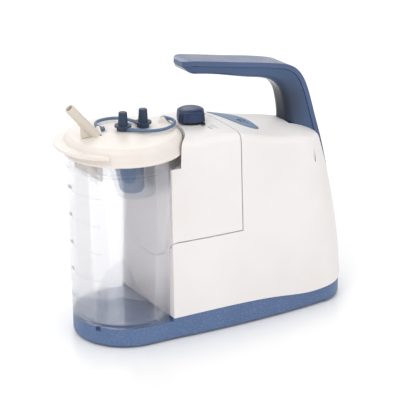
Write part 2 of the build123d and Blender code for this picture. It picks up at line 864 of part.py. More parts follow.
# ---- Motor and piston pump ----
motor_wall = 2.0
frame_height = 85.0
frame_plate = 5.0
leg_offset = 30.0
leg_radius = 4.0
cylinder_x = 98.0
cylinder_length = 30.0
cylinder_bore = 11.0
head_half = 17.0
suction_height = 108.0

with BuildPart() as motor_case:
    with BuildSketch(level(motor_bottom)):
        with Locations((motor_x, 0)):
            Circle(motor_radius)
    extrude(amount=motor_top - motor_bottom)
    with BuildSketch(level(motor_bottom + motor_wall)):
        with Locations((motor_x, 0)):
            Circle(motor_radius - motor_wall)
    extrude(amount=motor_top - motor_bottom - 2 * motor_wall, mode=Mode.SUBTRACT)
    with BuildSketch(level(motor_bottom - 5)):
        with Locations((motor_x, 0)):
            Circle(spindle_radius + running)
    extrude(amount=60, mode=Mode.SUBTRACT)
keep(motor_case, "motor_case")

with BuildPart() as motor_rotor:
    with BuildSketch(level(26)):
        with Locations((motor_x, 0)):
            Circle(spindle_radius)
    extrude(amount=94 - 26)
    with BuildSketch(level(motor_bottom + 6)):
        with Locations((motor_x, 0)):
            Circle(18)
    extrude(amount=motor_top - motor_bottom - 12)
keep(motor_rotor, "motor_rotor")

with BuildPart() as cooling_fan:
    with BuildSketch(level(28)):
        with Locations((motor_x, 0)):
            Circle(6)
            with PolarLocations(12, 8):
                Rectangle(14, 1.6)
            Circle(spindle_radius + 0.02, mode=Mode.SUBTRACT)
    extrude(amount=8)
keep(cooling_fan, "cooling_fan")

with BuildPart() as crank_disc:
    with BuildSketch(level(94.2)):
        with Locations((motor_x, 0)):
            Circle(12)
    extrude(amount=4)
    with BuildSketch(level(98.2)):
        with Locations((motor_x + crank_throw, 0)):
            Circle(crank_pin)
    extrude(amount=10)
keep(crank_disc, "crank_disc")

with BuildPart() as pump_frame:
    with BuildSketch(level(frame_height)):
        with Locations((motor_x, 0)):
            RectangleRounded(72, 72, 8)
            Circle(13.5, mode=Mode.SUBTRACT)
    extrude(amount=frame_plate)
    with BuildSketch(level(30)):
        with Locations((motor_x, 0)):
            with GridLocations(2 * leg_offset, 2 * leg_offset, 2, 2):
                Circle(leg_radius)
    extrude(amount=frame_height - 30)
    with BuildSketch(across(cylinder_x + cylinder_length)):
        with Locations((0, frame_height)):
            Rectangle(44, 38, align=(Align.CENTER, Align.MIN))
        with Locations((0, crank_height)):
            Circle(cylinder_bore + 0.2, mode=Mode.SUBTRACT)
    extrude(amount=4)
keep(pump_frame, "pump_frame")

with BuildPart() as vibration_mounts:
    with BuildSketch(level(deck_level)):
        with Locations((motor_x, 0)):
            with GridLocations(2 * leg_offset, 2 * leg_offset, 2, 2):
                Circle(6.5)
    extrude(amount=30 - deck_level)
keep(vibration_mounts, "vibration_mounts")

with BuildPart() as cylinder:
    with BuildSketch(across(cylinder_x)):
        with Locations((0, crank_height)):
            Circle(cylinder_radius)
            Circle(cylinder_bore, mode=Mode.SUBTRACT)
    extrude(amount=cylinder_length)
keep(cylinder, "cylinder")

with BuildPart() as piston_rod:
    with BuildSketch(across(105)):
        with Locations((0, crank_height)):
            Circle(cylinder_bore - running)
    extrude(amount=8)
    with BuildSketch(level(crank_height - 3)):
        with Locations((113, 0)):
            Rectangle(motor_x - 113 - 8, 6, align=(Align.MIN, Align.CENTER))
        with Locations((motor_x, 0)):
            Circle(12.4)
    extrude(amount=6)
    with BuildSketch(level(crank_height - 4)):
        with Locations((motor_x, 0)):
            Circle(9.7)
    extrude(amount=8, mode=Mode.SUBTRACT)
    # Groove for the cup seal
    with BuildSketch(across(108)):
        with Locations((0, crank_height)):
            Circle(cylinder_bore + 1)
            Circle(cylinder_bore - 1.5, mode=Mode.SUBTRACT)
    extrude(amount=2, mode=Mode.SUBTRACT)
keep(piston_rod, "piston_rod")

with BuildPart() as piston_seal:
    with BuildSketch(across(108)):
        with Locations((0, crank_height)):
            Circle(cylinder_bore - 0.03)
            Circle(cylinder_bore - 1.4, mode=Mode.SUBTRACT)
    extrude(amount=2)
keep(piston_seal, "piston_seal")

with BuildPart() as valve_plate:
    with BuildSketch(across(cylinder_x - 2)):
        with Locations((0, crank_height)):
            Rectangle(2 * head_half, 2 * head_half)
            with Locations((-5, 0), (5, 0)):
                Circle(1.5, mode=Mode.SUBTRACT)
    extrude(amount=2)
keep(valve_plate, "valve_plate")

with BuildPart() as flap_valves:
    with BuildSketch(across(cylinder_x - 2.6)):
        with Locations((-5, crank_height - 2), (5, crank_height - 2)):
            Rectangle(5, 9)
    extrude(amount=0.6)
keep(flap_valves, "flap_valves")

with BuildPart() as cylinder_head:
    with BuildSketch(across(cylinder_x - 14)):
        with Locations((0, crank_height)):
            Rectangle(2 * head_half, 2 * head_half)
    extrude(amount=12)
    with BuildSketch(across(cylinder_x - 12)):
        with Locations((-6.5, crank_height), (6.5, crank_height)):
            Rectangle(11, 20)
    extrude(amount=12, mode=Mode.SUBTRACT)
    # Delivery barb on top, suction barb on the near side
    with BuildSketch(level(crank_height + head_half)):
        with Locations((cylinder_x - 8, 8)):
            Circle(2.6)
    extrude(amount=6)
    with BuildSketch(upright(-head_half)):
        with Locations((cylinder_x - 8, suction_height)):
            Circle(2.6)
    extrude(amount=8)
    with BuildSketch(level(crank_height + 8)):
        with Locations((cylinder_x - 8, 8)):
            Circle(1.5)
    extrude(amount=20, mode=Mode.SUBTRACT)
    with BuildSketch(upright(-head_half + 8)):
        with Locations((cylinder_x - 8, suction_height)):
            Circle(1.5)
    extrude(amount=20, mode=Mode.SUBTRACT)
keep(cylinder_head, "cylinder_head")

# ---- Hoses: round tube along straight runs joined by arcs ----
hose_radius = 4.0
hose_bore = 2.7
head_top = crank_height + head_half
silencer_x = 52.0
silencer_y = 32.0
silencer_top = 78.0
hoses = {
    "vacuum_hose": ((barb_x, 0, 190), (barb_x, 0, 178), (barb_x + 1, 22, 166), (knob_x, 30, 152),
                    (knob_x, 28, barb_height), (knob_x, 15, barb_height)),
    "pump_hose": ((knob_x, -15, barb_height), (knob_x, -30, barb_height),
                  (cylinder_x - 8, -32, head_top + 5), (cylinder_x - 8, -32, suction_height),
                  (cylinder_x - 8, -head_half - 1, suction_height)),
    "exhaust_hose": ((cylinder_x - 8, 8, head_top + 1), (cylinder_x - 8, 8, head_top + 12),
                     (cylinder_x - 12, 28, head_top + 12), (silencer_x + 6, silencer_y + 4, head_top - 8),
                     (silencer_x, silencer_y, head_top - 24), (silencer_x, silencer_y, silencer_top + 1)),
}
for name, route in hoses.items():
    points = [Vector(jar_x + x, y, z) for x, y, z in route]
    with BuildPart() as hose:
        with BuildLine() as path:
            FilletPolyline(*points, radius=4.6)
        with BuildSketch(Plane(origin=path.line @ 0, z_dir=path.line % 0)):
            Circle(hose_radius)
            Circle(hose_bore, mode=Mode.SUBTRACT)
        sweep()
    keep(hose, name)


with BuildPart() as exhaust_silencer:
    with BuildSketch(level(deck_level)):
        with Locations((silencer_x, silencer_y)):
            Circle(10)
    extrude(amount=silencer_top - 6 - deck_level)
    with BuildSketch(level(silencer_top - 6)):
        with Locations((silencer_x, silencer_y)):
            Circle(2.6)
    extrude(amount=12)
    with BuildSketch(level(deck_level + 3)):
        with Locations((silencer_x, silencer_y)):
            Circle(8)
    extrude(amount=silencer_top - 12 - deck_level, mode=Mode.SUBTRACT)
    with BuildSketch(level(deck_level + 20)):
        with Locations((silencer_x, silencer_y)):
            Circle(1.6)
    extrude(amount=60, mode=Mode.SUBTRACT)
keep(exhaust_silencer, "exhaust_silencer")

# ---- Electrics ----
with BuildPart() as battery_pack:
    with BuildSketch(level(deck_level + 0.2)):
        with Locations((208, 0)):
            RectangleRounded(32, 66, 4)
    extrude(amount=76)
keep(battery_pack, "battery_pack")

with BuildPart() as circuit_board:
    with BuildSketch(upright(39)):
        with Locations((125, 150)):
            Rectangle(54, 56)
    extrude(amount=1.6)
    with BuildSketch(upright(37.4)):
        with Locations((112, 160), (136, 140)):
            Rectangle(14, 12)
    extrude(amount=5)
keep(circuit_board, "circuit_board")

with BuildPart() as power_inlet:
    with BuildSketch(upright(54.4)):
        with Locations((inlet_x, inlet_z)):
            Rectangle(inlet_width, inlet_depth)
    extrude(amount=16)
    with BuildSketch(upright(56)):
        with Locations((inlet_x, inlet_z)):
            SlotOverall(14, 8)
    extrude(amount=13, mode=Mode.SUBTRACT)
    with BuildSketch(upright(51)):
        with Locations((inlet_x - 3, inlet_z), (inlet_x + 3, inlet_z)):
            Circle(1.2)
    extrude(amount=9)
keep(power_inlet, "power_inlet")
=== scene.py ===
# A portable suction pump: clear collection jar and lid in front, housing with a carrying handle behind
import bpy
import bmesh
from math import sin, cos, pi, radians
from mathutils import Vector, Matrix


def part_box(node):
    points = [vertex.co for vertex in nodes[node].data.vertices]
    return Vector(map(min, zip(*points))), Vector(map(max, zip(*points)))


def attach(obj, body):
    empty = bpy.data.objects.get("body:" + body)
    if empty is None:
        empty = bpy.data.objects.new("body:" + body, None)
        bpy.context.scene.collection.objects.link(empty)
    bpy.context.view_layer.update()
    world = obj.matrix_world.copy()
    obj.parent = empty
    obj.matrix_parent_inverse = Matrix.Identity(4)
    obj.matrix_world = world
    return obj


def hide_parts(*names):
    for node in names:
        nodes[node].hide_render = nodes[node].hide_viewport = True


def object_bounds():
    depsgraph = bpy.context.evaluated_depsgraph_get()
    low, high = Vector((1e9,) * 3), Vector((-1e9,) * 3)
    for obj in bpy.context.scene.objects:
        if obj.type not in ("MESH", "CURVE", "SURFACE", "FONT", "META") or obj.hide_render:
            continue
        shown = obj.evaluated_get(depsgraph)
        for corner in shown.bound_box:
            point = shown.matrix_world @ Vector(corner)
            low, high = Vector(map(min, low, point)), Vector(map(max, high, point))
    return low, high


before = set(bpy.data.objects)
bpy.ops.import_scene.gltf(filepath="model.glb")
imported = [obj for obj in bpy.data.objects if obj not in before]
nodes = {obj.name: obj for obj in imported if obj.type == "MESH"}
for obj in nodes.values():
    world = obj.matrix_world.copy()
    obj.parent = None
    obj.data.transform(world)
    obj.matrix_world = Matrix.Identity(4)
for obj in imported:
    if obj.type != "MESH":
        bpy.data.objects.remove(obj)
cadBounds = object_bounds()
mm = 0.001          # one millimetre in the scene's metres
print("stage: frame loaded")

# ---- Camera ----
cameraSetup = {
    "spot": (-0.80600, -1.35327, 0.69840),
    "target": (-0.0008, 0.0, 0.12035),
    "lens": 149.1,
    "sensor": 36,
    "farthest": 60,
}
cameraData = bpy.data.cameras.new("camera")
cameraData.lens = cameraSetup["lens"]
cameraData.sensor_width = cameraSetup["sensor"]
cameraData.clip_end = cameraSetup["farthest"]
camera = bpy.data.objects.new("camera", cameraData)
bpy.context.scene.collection.objects.link(camera)
camera.location = cameraSetup["spot"]
towards = Vector(cameraSetup["target"]) - Vector(cameraSetup["spot"])
camera.rotation_euler = towards.to_track_quat("-Z", "Y").to_euler()
bpy.context.scene.camera = camera


# ---- Small helpers ----
def hexColour(code, alpha=1.0):
    # sRGB hex to the linear values that Blender's sockets take
    parts = [int(code[i:i + 2], 16) / 255 for i in (0, 2, 4)]
    linear = [c / 12.92 if c <= 0.04045 else ((c + 0.055) / 1.055) ** 2.4 for c in parts]
    return (*linear, alpha)


def addNode(tree, kind, links=None, values=None, **settings):
    # One node, its settings, the values of its sockets, and what is linked into them
    node = tree.nodes.new(kind)
    for name, value in settings.items():
        setattr(node, name, value)
    for socket, value in (values or {}).items():
        node.inputs[socket].default_value = value
    for socket, source in (links or {}).items():
        tree.links.new(source, node.inputs[socket])
    return node


def newMaterial(name, **values):
    # A Principled surface and its node tree, ready for detail
    material = bpy.data.materials.new(name)
    material.use_nodes = True
    tree = material.node_tree
    shader = tree.nodes["Principled BSDF"]
    for socket, value in values.items():
        shader.inputs[socket.replace("_", " ")].default_value = value
    return material, tree, shader


def spread(tree, source, low, high, stops):
    # Colour ramp between two ends of a pattern
    ramp = addNode(tree, "ShaderNodeValToRGB", links={"Fac": source})
    ramp.color_ramp.elements[0].position = low
    ramp.color_ramp.elements[1].position = high
    ramp.color_ramp.elements[0].color = stops[0]
    ramp.color_ramp.elements[1].color = stops[1]
    return ramp.outputs["Color"]


# Sizes of the slow changes across a moulding, in millimetres
mouldedPattern = {"drift": 71.4, "wear": 22.2, "pitStrength": 0.35}


def moulded(name, colour, shade, roughness, grain, depth, **values):
    # Injection-moulded plastic: spark-eroded grain, faint drift in colour, gloss that varies with handling
    material, tree, shader = newMaterial(name, IOR=1.5, **values)
    place = addNode(tree, "ShaderNodeTexCoord").outputs["Object"]
    drift = addNode(tree, "ShaderNodeTexNoise", links={"Vector": place},
                    values={"Scale": 1 / (mouldedPattern["drift"] * mm), "Detail": 3.0})
    colours = spread(tree, drift.outputs["Fac"], 0.35, 0.7, (hexColour(colour), hexColour(shade)))
    tree.links.new(colours, shader.inputs["Base Color"])
    wear = addNode(tree, "ShaderNodeTexNoise", links={"Vector": place},
                   values={"Scale": 1 / (mouldedPattern["wear"] * mm), "Detail": 4.0})
    ends = {"From Min": 0.3, "From Max": 0.7, "To Min": roughness - 0.05, "To Max": roughness + 0.06}
    gloss = addNode(tree, "ShaderNodeMapRange", links={"Value": wear.outputs["Fac"]}, values=ends)
    tree.links.new(gloss.outputs["Result"], shader.inputs["Roughness"])
    pits = addNode(tree, "ShaderNodeTexNoise", links={"Vector": place},
                   values={"Scale": 1 / (grain * mm), "Detail": 2.0})
    bump = addNode(tree, "ShaderNodeBump", links={"Height": pits.outputs["Fac"]},
                   values={"Strength": mouldedPattern["pitStrength"], "Distance": depth * mm})
    tree.links.new(bump.outputs["Normal"], shader.inputs["Normal"])
    return material, tree, shader, place


def printedInk(name, colour, shade, speck, **values):
    # Pad-printed ink: a matt film, mottled where the pad left it thinner; speck is the mottle's size
    material, tree, shader = newMaterial(name, **values)
    place = addNode(tree, "ShaderNodeTexCoord").outputs["Object"]
    mottle = addNode(tree, "ShaderNodeTexNoise", links={"Vector": place}, values={"Scale": 1 / (speck * mm)})
    colours = spread(tree, mottle.outputs["Fac"], 0.3, 0.7, (hexColour(colour), hexColour(shade)))
    tree.links.new(colours, shader.inputs["Base Color"])
    return material


def dress(material, *names):
    # The same finish on several CAD pieces
    for name in names:
        piece = nodes[name]
        piece.data.materials.clear()
        piece.data.materials.append(material)


def addPiece(name, mesh, material, body, smooth=True):
    # A piece made here, riding on its body
    piece = bpy.data.objects.new(name, mesh)
    bpy.context.scene.collection.objects.link(piece)
    mesh.materials.append(material)
    if smooth:
        mesh.shade_smooth()
    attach(piece, body)
    return piece


def meshFrom(name, bm):
    # Finished mesh with its faces turned outwards
    bmesh.ops.recalc_face_normals(bm, faces=bm.faces)
    mesh = bpy.data.meshes.new(name)
    bm.to_mesh(mesh)
    bm.free()
    return mesh


# The jar's upright axis in the model's frame
jarLow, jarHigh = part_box("jar")
jarX = jarLow.x + (jarHigh.y - jarLow.y) / 2

# ---- Materials ----
# Moulded ABS, spark-eroded: an even, soft white that hardly reflects
bodyWhite, *_ = moulded("moulded white ABS", "EAE6E5", "E5E0DE", 0.42, 0.55, 0.03)
# Moulded polypropylene: warmer, waxier, a soft sheen
lidCream, _, lidShader, _ = moulded("moulded cream polypropylene", "EAE4DF", "E3DBD3", 0.38, 0.7, 0.03)
lidShader.inputs["Subsurface Weight"].default_value = 0.08
lidShader.inputs["Subsurface Radius"].default_value = (0.004, 0.003, 0.002)
# Unpigmented polypropylene for the inlet: a little darker and greyer than the lid
inletBeige, *_ = moulded("moulded beige polypropylene", "D9D1C6", "D0C6B9", 0.4, 0.6, 0.03)
# Satin ABS for the handle's cap, a deep blue with a broad soft sheen
handleBlue, _, handleShader, _ = moulded("satin blue ABS", "3F567F", "384D74", 0.3, 0.6, 0.02)
handleShader.inputs["Coat Weight"].default_value = 0.25
handleShader.inputs["Coat Roughness"].default_value = 0.2
# Polished ABS for the grip's underside: glossier, with painted shade darkening it at the root, where it faces
# the finger gap
paintedRootShade = {"centre": (jarX + 172 * mm, 0.0, 207 * mm), "near": 12 * mm, "far": 46 * mm, "colour": "0E1A2C"}
gripBlue, gripTree, gripShader, gripPlace = moulded("polished blue ABS with painted root shade", "3A5379", "324A6E", 0.2, 0.6, 0.01)
# Painted shade: a near-black is blended into the colour by distance from the root, standing in for the shade
# of the finger gap
paintedShadeDistance = addNode(gripTree, "ShaderNodeVectorMath", links={0: gripPlace},
                       values={1: paintedRootShade["centre"]}, operation="DISTANCE")
paintedShadeShare = addNode(gripTree, "ShaderNodeMapRange", links={"Value": paintedShadeDistance.outputs["Value"]},
                    values={"From Min": paintedRootShade["near"], "From Max": paintedRootShade["far"]},
                    interpolation_type="SMOOTHSTEP")
gripBase = gripShader.inputs["Base Color"].links[0].from_socket
paintedShadeMix = addNode(gripTree, "ShaderNodeMix", data_type="RGBA",
                  links={"Factor": paintedShadeShare.outputs["Result"], "B": gripBase},
                  values={"A": hexColour(paintedRootShade["colour"])})
gripTree.links.new(paintedShadeMix.outputs["Result"], gripShader.inputs["Base Color"])
# Satin ABS in navy: dark, with soft highlights that pick out the ridges
knobNavy, *_ = moulded("satin navy ABS", "1F3459", "1A2D4E", 0.38, 0.5, 0.03)
# Satin ABS inlay: greyer and lighter than the handle, almost matt
panelBlue, *_ = moulded("satin slate-blue ABS", "6C86A4", "64809E", 0.45, 0.5, 0.02)
# Moulded polypropylene in blue: waxy, seen through the jar
cupBlue, *_ = moulded("moulded blue polypropylene", "61799C", "566D90", 0.4, 0.7, 0.02)
# Moulded silicone in two blues: soft, dull sheen with no sharp highlights
stopperSlate, *_ = moulded("slate silicone rubber", "2C3F55", "24354A", 0.5, 0.5, 0.03)
strapBlue, *_ = moulded("blue silicone rubber", "5A7391", "50698A", 0.42, 0.5, 0.03)
# Glass-filled nylon: dull and slightly rough, in black and in grey
innerBlack, *_ = moulded("black nylon", "17181A", "202124", 0.5, 0.6, 0.03)
innerGrey, *_ = moulded("grey nylon", "8E9093", "84868A", 0.5, 0.6, 0.03)
# Nitrile rubber: dead matt black
sealBlack, *_ = moulded("black nitrile rubber", "0F1011", "18191A", 0.7, 0.4, 0.05)
# Blow-moulded polyethylene: milky white, waxy
floatWhite, *_ = moulded("white polyethylene", "E2E0DA", "D8D5CE", 0.45, 0.6, 0.02)
# Extruded silicone: pale and milky, with a soft gleam along the tube
hoseClear, *_ = moulded("milky extruded silicone", "C9CDCD", "BFC4C5", 0.35, 0.6, 0.02)
# Solder resist on the circuit board: green, smooth and a little glossy
boardGreen, *_ = moulded("solder resist", "134A2D", "0F3F27", 0.35, 0.5, 0.02)
# Shrink film on the battery: blue, glossy, slightly creased
batteryWrap, *_ = moulded("shrink film", "1F3D66", "193357", 0.3, 0.8, 0.03)
fleckSize = 0.9     # millimetres; a real fleck is finer, and would not show


def flecked(name, colour, shade, fleck, roughness):
    # Coarse-textured ABS with a pearl fleck: a fine sparkle under the blue
    material, tree, shader, place = moulded(name, colour, shade, roughness, 0.8, 0.06)
    cells = addNode(tree, "ShaderNodeTexVoronoi", links={"Vector": place},
                    values={"Scale": 1 / (fleckSize * mm)})
    shine = addNode(tree, "ShaderNodeMapRange", links={"Value": cells.outputs["Color"]},
                    values={"From Min": 0.72, "From Max": 0.95, "To Min": 0.0, "To Max": 0.5})
    drift = shader.inputs["Base Color"].links[0].from_socket
    mixed = addNode(tree, "ShaderNodeMix", data_type="RGBA",
                    links={"Factor": shine.outputs["Result"], "A": drift}, values={"B": hexColour(fleck)})
    tree.links.new(mixed.outputs["Result"], shader.inputs["Base Color"])
    return material


baseBlue = flecked("pearl blue textured ABS", "566E95", "4D648B", "8CA2C4", 0.45)


def metal(name, colour, roughness, scratch):
    # Turned or rolled metal: fine marks from the tool spread its highlights
    material, tree, shader = newMaterial(name, Metallic=1.0)
    place = addNode(tree, "ShaderNodeTexCoord").outputs["Object"]
    lines = addNode(tree, "ShaderNodeTexNoise", links={"Vector": place},
                    values={"Scale": 1 / (scratch * mm), "Detail": 3.0})
    shader.inputs["Base Color"].default_value = hexColour(colour)
    gloss = addNode(tree, "ShaderNodeMapRange", links={"Value": lines.outputs["Fac"]},
                    values={"To Min": roughness - 0.1, "To Max": roughness + 0.1})
    tree.links.new(gloss.outputs["Result"], shader.inputs["Roughness"])
    return material


# Plated steel is greyer and duller, machined aluminium brighter, and brass a warm yellow
steel = metal("zinc-plated steel", "B9B9BC", 0.35, 1.2)
aluminium = metal("machined aluminium", "CFD0D2", 0.32, 0.9)
brass = metal("turned brass", "B08D4C", 0.3, 0.9)

# Moulded polycarbonate: clear and glossy, with slow ripples in its walls
jarFinish = {"ripple": 45.5, "rippleStrength": 0.12, "rippleDepth": 0.4, "unbent": 0.62}
jarClear, jarTree, jarShader = newMaterial(
    "clear polycarbonate", IOR=1.45, Roughness=0.03, Transmission_Weight=1.0, Base_Color=hexColour("FEFEFF"))
jarPlace = addNode(jarTree, "ShaderNodeTexCoord").outputs["Object"]
ripple = addNode(jarTree, "ShaderNodeTexNoise", links={"Vector": jarPlace},
                 values={"Scale": 1 / (jarFinish["ripple"] * mm), "Detail": 1.0})
jarBump = addNode(jarTree, "ShaderNodeBump", links={"Height": ripple.outputs["Fac"]},
                  values={"Strength": jarFinish["rippleStrength"], "Distance": jarFinish["rippleDepth"] * mm})
jarTree.links.new(jarBump.outputs["Normal"], jarShader.inputs["Normal"])
# A 2 mm wall lets most light straight through: part of it passes unbent, the rest gives edges and gleam
jarThrough = addNode(jarTree, "ShaderNodeBsdfTransparent", values={"Color": hexColour("FDFDFE")})
jarMix = addNode(jarTree, "ShaderNodeMixShader", values={0: jarFinish["unbent"]})
jarTree.links.new(jarShader.outputs["BSDF"], jarMix.inputs[1])
jarTree.links.new(jarThrough.outputs["BSDF"], jarMix.inputs[2])
jarTree.links.new(jarMix.outputs["Shader"], jarTree.nodes["Material Output"].inputs["Surface"])

dress(bodyWhite, "main_housing", "front_cover")
dress(lidCream, "jar_lid", "splash_baffle")
dress(inletBeige, "inlet_spigot")
dress(baseBlue, "base_tray", "bottom_plate")
dress(handleBlue, "handle_upper_shell")
dress(gripBlue, "handle_lower_shell")
dress(panelBlue, "control_panel", "power_button")
dress(knobNavy, "regulator_knob")
dress(cupBlue, "float_cup")
dress(stopperSlate, "plug_front", "plug_rear")
dress(strapBlue, "tether_front", "tether_rear")
dress(innerBlack, "power_switch", "cooling_fan", "exhaust_silencer", "power_inlet")
dress(innerGrey, "vacuum_port", "pump_frame")
dress(sealBlack, "rubber_feet", "lid_gasket", "port_seal", "valve_poppet", "vibration_mounts", "piston_seal")
dress(floatWhite, "float_body")
dress(hoseClear, "vacuum_hose", "pump_hose", "exhaust_hose")
dress(steel, "base_screws", "button_spring", "handle_screws", "regulator_spring")
dress(steel, "motor_case", "motor_rotor", "flap_valves")
dress(aluminium, "regulator_body", "crank_disc", "cylinder", "piston_rod", "valve_plate", "cylinder_head")
dress(brass, "regulator_spindle", "spring_seat")
dress(boardGreen, "circuit_board")
dress(batteryWrap, "battery_pack")
dress(jarClear, "jar")
print("stage: materials on every CAD piece")

# ---- Regulator knob ----
knob = {
    "centre": (jarX + 76.5 * mm, 0.0),
    "bottom": 207.6,
    "top": 221.0,
    "radius": 16.0,
    "ridgeGroups": (-157.8, -67.8, 22.2, 112.2),   # degrees round the knob
    "ridgeStep": 9.6,
    "ridgeDepth": 1.3,
    "panelDepth": 0.9,
    "taper": 0.085,            # share of the radius lost by the top
    "crown": 0.62,             # share of the height where the crown starts
    "turns": 288,
    "rows": 26,
}
# Dark collar under the cap, black as painted shade for the shadowed gap under the knob, and the small stop
# nub on its near side
shadedCollar = {"height": 206.6, "low": 12.4, "high": 12.8, "depth": 2.0}
stopNub = {"spot": (4.6, -16.4, 206.9), "low": 2.4, "high": 2.0, "depth": 1.4}


def smoothStep(low, high, value):
    t = min(max((value - low) / (high - low), 0.0), 1.0)
    return t * t * (3 - 2 * t)


def knobRadius(angle, share):
    # Radius round the knob at a share of its height: three ridges in each group, shallow panels between
    nearest = min(((angle - g + 180) % 360 - 180 for g in knob["ridgeGroups"]), key=abs)
    radius = (knob["radius"] - knob["ridgeDepth"]) * (1.0 - knob["taper"] * share)
    if share > knob["crown"]:
        climb = (share - knob["crown"]) / (1 - knob["crown"])
        radius *= max(1 - climb ** 2.6, 0.0) ** 0.5
    ridge = 0.0
    for step in (-1, 0, 1):
        off = abs(nearest - step * knob["ridgeStep"])
        ridge = max(ridge, 1 - smoothStep(1.5, 3.6, off))
    ridge *= 1 - smoothStep(0.6, 0.86, share)
    panel = smoothStep(16, 20, abs(nearest))
    line = 0.60 + 0.14 * cos(radians(2.4 * (abs(nearest) - 45)))
    panel *= 1 - smoothStep(line - 0.10, line + 0.06, share)
    return (radius + knob["ridgeDepth"] * ridge - knob["panelDepth"] * panel) * mm


def makeKnob():
    turns, rows = knob["turns"], knob["rows"]
    bm = bmesh.new()
    rings = []
    for row in range(rows + 1):
        share = (row / rows) ** 0.85
        z = (knob["bottom"] + share * (knob["top"] - knob["bottom"])) * mm
        ring = []
        for i in range(turns):
            angle = 360 * i / turns
            r = max(knobRadius(angle, share * 0.999), 0.0004)
            ring.append(bm.verts.new((knob["centre"][0] + r * cos(radians(angle)),
                                      knob["centre"][1] + r * sin(radians(angle)), z)))
        rings.append(ring)
    for low, high in zip(rings, rings[1:]):
        for i in range(turns):
            j = (i + 1) % turns
            bm.faces.new((low[i], low[j], high[j], high[i]))
    bm.faces.new(list(reversed(rings[0])))
    bm.faces.new(rings[-1])
    return meshFrom("knob_cap", bm)


def addDisc(bm, place, facts, segments):
    # Short cone: the shape of the collar and of the nub
    bmesh.ops.create_cone(bm, cap_ends=True, segments=segments, radius1=facts["low"] * mm,
                          radius2=facts["high"] * mm, depth=facts["depth"] * mm,
                          matrix=Matrix.Translation(place))


def makeCollar():
    bm = bmesh.new()
    addDisc(bm, (knob["centre"][0], 0, shadedCollar["height"] * mm), shadedCollar, 96)
    dx, y, z = stopNub["spot"]
    addDisc(bm, (knob["centre"][0] + dx * mm, y * mm, z * mm), stopNub, 32)
    return meshFrom("knob_collar_painted_shade", bm)


knobCap = addPiece("knob_cap", makeKnob(), knobNavy, "knob")
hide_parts("regulator_knob")
# The collar's black rubber is painted shade: it fills the gap under the knob that lies in shadow
addPiece("knob_collar_painted_shade", makeCollar(), sealBlack, "knob", smooth=False)
print("stage: knob")

# ---- Straps from the stoppers to their clips ----
straps = {
    "strap_front": {
        "body": "plug_front",
        "node": "tether_front",
        "height": 211.0,
        "route": ((2.6, -5.5), (5.6, -12.0), (16.5, -22.5), (31.0, -25.2), (44.0, -20.0),
                  (53.5, -9.5), (56.5, 2.0), (52.5, 9.5), (48.5, 8.5)),
    },
    "strap_rear": {
        "body": "plug_rear",
        "node": "tether_rear",
        "height": 211.0,
        "route": ((21.8, 5.0), (20.0, 14.0), (15.8, 28.5), (5.0, 35.0), (-9.0, 33.5),
                  (-17.0, 27.0), (-19.5, 17.0), (-18.0, 9.0)),
    },
}
strapShape = {"radius": 1.6, "startSwell": 1.5, "endSwell": 1.25}
bead = {"centre": (-18.0, 8.2, 211.0), "radius": 2.3, "flattening": 0.9}


def makeStrap(name, facts):
    curve = bpy.data.curves.new(name, "CURVE")
    curve.dimensions = "3D"
    curve.bevel_depth = strapShape["radius"] * mm
    curve.bevel_resolution = 6
    curve.resolution_u = 16
    curve.use_fill_caps = True
    line = curve.splines.new("NURBS")
    line.points.add(len(facts["route"]) - 1)
    for point, (x, y) in zip(line.points, facts["route"]):
        point.co = (jarX + x * mm, y * mm, facts["height"] * mm, 1)
    line.points[0].radius = strapShape["startSwell"]      # thickens into the stopper's collar
    line.points[-1].radius = strapShape["endSwell"]       # and into the bead held by the clip
    line.order_u = 4
    line.use_endpoint_u = True
    piece = bpy.data.objects.new(name, curve)
    bpy.context.scene.collection.objects.link(piece)
    curve.materials.append(strapBlue)
    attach(piece, facts["body"])
    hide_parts(facts["node"])


for name, facts in straps.items():
    makeStrap(name, facts)


def beadAt(name, centre, radius, material, body):
    # Moulded bead: a round end with a slightly flattened pole
    bm = bmesh.new()
    bmesh.ops.create_uvsphere(bm, u_segments=32, v_segments=20, radius=radius)
    for vert in bm.verts:
        vert.co.z *= bead["flattening"]
        vert.co += Vector(centre)
    return addPiece(name, meshFrom(name, bm), material, body)


beadX, beadY, beadZ = bead["centre"]
beadSpot = (jarX + beadX * mm, beadY * mm, beadZ * mm)
beadAt("strap_bead", beadSpot, bead["radius"] * mm, strapBlue, "plug_rear")
print("stage: straps")

# ---- Scale on the jar ----
scale = {
    "bottom": 42.0,
    "step": 28.4,
    "majors": 5,
    "start": 146.0,            # degrees round the jar, where the marks begin
    "majorArc": 20.0,
    "minorArc": 11.0,
    "lineArc": 44.0,
    "height": 0.55,
    "proud": 0.18,
    "lineGap": 8,
    "lineHeight": 0.35,
    "lineProud": 0.1,
    "root": 0.02,              # marks start just clear of the wall
    "figures": ("200", "400", "600", "800", "1000"),
    "figureTurn": 26,
    "figureSize": 5.0,
    "figureLift": 1.2,
}
inkGrey = printedInk("grey pad-printed ink", "8A869C", "A5A2B3", 0.83, Roughness=0.55)
faintInk = printedInk("faint moulded line", "B9B5C6", "CDCAD8", 1.1, Roughness=0.3, Alpha=0.35)
# The jar's outer wall: radius and height at its foot and at its flange
jarWall = {"foot": (53.2, 21.6), "flange": (55.2, 178.2)}


def jarRadiusAt(z):
    (lowRadius, lowZ), (highRadius, highZ) = jarWall["foot"], jarWall["flange"]
    return (lowRadius + (z - lowZ) * (highRadius - lowRadius) / (highZ - lowZ)) * mm


